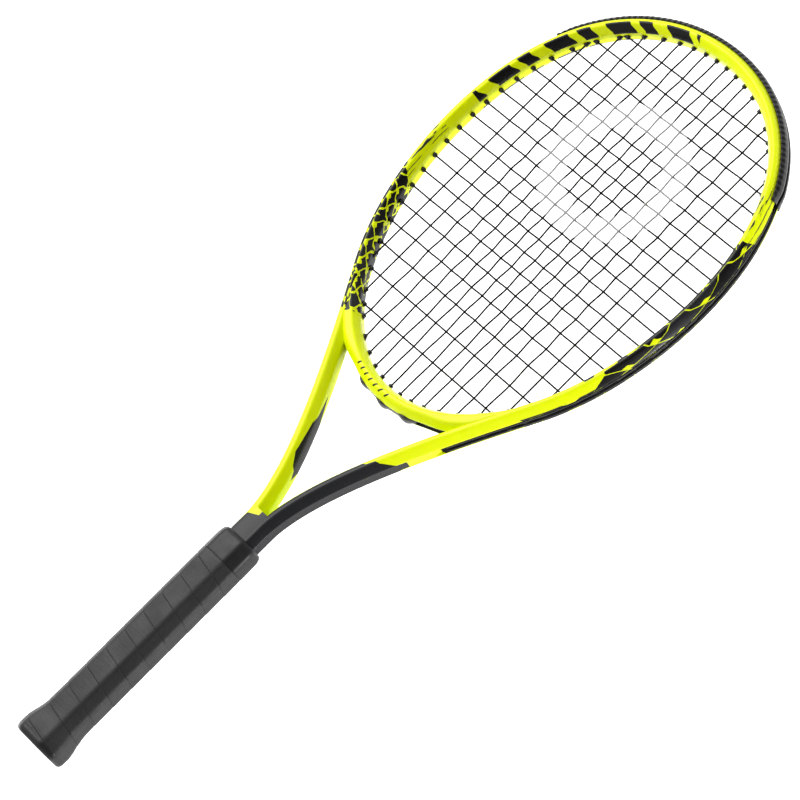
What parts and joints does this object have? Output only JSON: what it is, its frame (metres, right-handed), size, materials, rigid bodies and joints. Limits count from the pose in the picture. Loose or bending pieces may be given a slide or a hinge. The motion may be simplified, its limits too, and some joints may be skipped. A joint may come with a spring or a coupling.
{
  "type": "tennis racket",
  "caption": "Strung tennis racket with an oval hoop, open throat, woven string bed, edge bumper and a wrapped octagonal handle with a sliding rubber collar.",
  "frame": {"origin": "centre of the butt's flat end face", "axes": "+X along the racket from the butt to the tip, +Y to the left in the plane of the strings, +Z out of the front face, square to the strings"},
  "size_m": [0.685, 0.2664, 0.0342],
  "materials": {
    "painted_graphite": "gloss lacquer over carbon fibre laminate, lime yellow with charcoal panels",
    "black_nylon": "satin moulded nylon",
    "black_string": "smooth monofilament, part of it stencilled light grey",
    "grey_foam": "moulded rigid polyurethane foam",
    "black_plastic": "moulded plastic, fine texture",
    "badge_plastic": "plain disc, no mark",
    "steel_wire": "bright staple wire",
    "grip_leather": "synthetic leather strip, wound in a spiral",
    "black_tape": "vinyl tape",
    "black_rubber": "smooth matte rubber"
  },
  "bodies": {
    "racket": {"frame_tube": "painted_graphite", "throat_bridge": "painted_graphite", "bumper_guard": "black_nylon", "side_grommet_strip_left": "black_nylon", "side_grommet_strip_right": "black_nylon", "throat_grommet_strip": "black_nylon", "main_string": "black_string", "cross_string": "black_string", "main_string_knots": "black_string", "cross_string_knots": "black_string", "handle_pallet_upper": "grey_foam", "handle_pallet_lower": "grey_foam", "butt_cap": "black_plastic", "butt_end_badge": "badge_plastic", "butt_cap_staples": "steel_wire", "grip_start_staple": "steel_wire", "grip_wrap": "grip_leather", "finishing_tape": "black_tape"},
    "collar": {"grip_collar": "black_rubber"}
  },
  "joints": [
    {"name": "collar_slide", "type": "slide", "parent": "racket", "child": "collar", "axis": [1, 0, 0], "range_m": [0, 0.01]}
  ]
}
